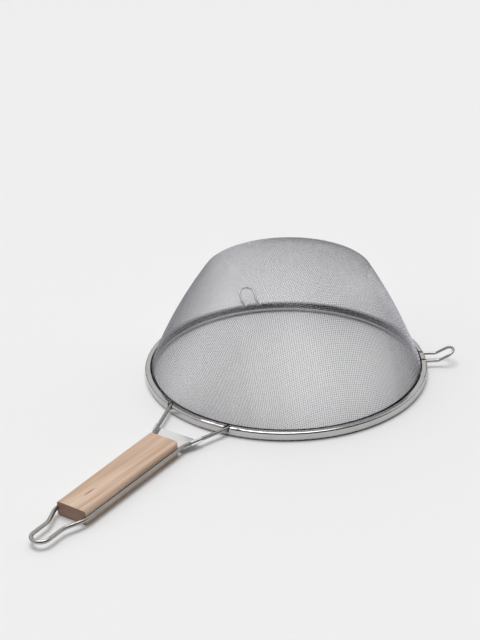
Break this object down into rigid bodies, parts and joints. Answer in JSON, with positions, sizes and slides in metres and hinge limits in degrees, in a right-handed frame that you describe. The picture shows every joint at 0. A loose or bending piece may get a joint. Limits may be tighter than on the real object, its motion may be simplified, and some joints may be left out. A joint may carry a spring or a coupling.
{
  "type": "double sieve strainer",
  "caption": "Round double-mesh wire strainer with a rolled steel rim, a wood grip held between wire rails, a hanging loop and two rest hooks.",
  "frame": {"origin": "centre of the mouth, on the surface that the rim stands on", "axes": "+Z from the mouth to the crown of the bowl, handle towards -Y and turned 2.4 degrees from it, rest hooks towards +Y"},
  "size_m": [0.26, 0.4664, 0.1151],
  "materials": {
    "rim_steel": "polished rolled stainless strip",
    "wire_steel": "bright drawn stainless wire",
    "coarse_mesh": "bright woven stainless wire",
    "fine_mesh": "fine woven stainless wire",
    "grip_wood": "bare sanded light hardwood",
    "plate_steel": "bright stainless sheet"
  },
  "bodies": {
    "root": {"rim_band": "rim_steel", "rim_core_wire": "wire_steel", "outer_mesh_bowl": "coarse_mesh", "inner_mesh_bowl": "fine_mesh", "handle_wire": "wire_steel", "handle_grip": "grip_wood", "bridge_plate": "plate_steel", "rest_hook_left": "wire_steel", "rest_hook_right": "wire_steel"}
  },
  "joints": []
}
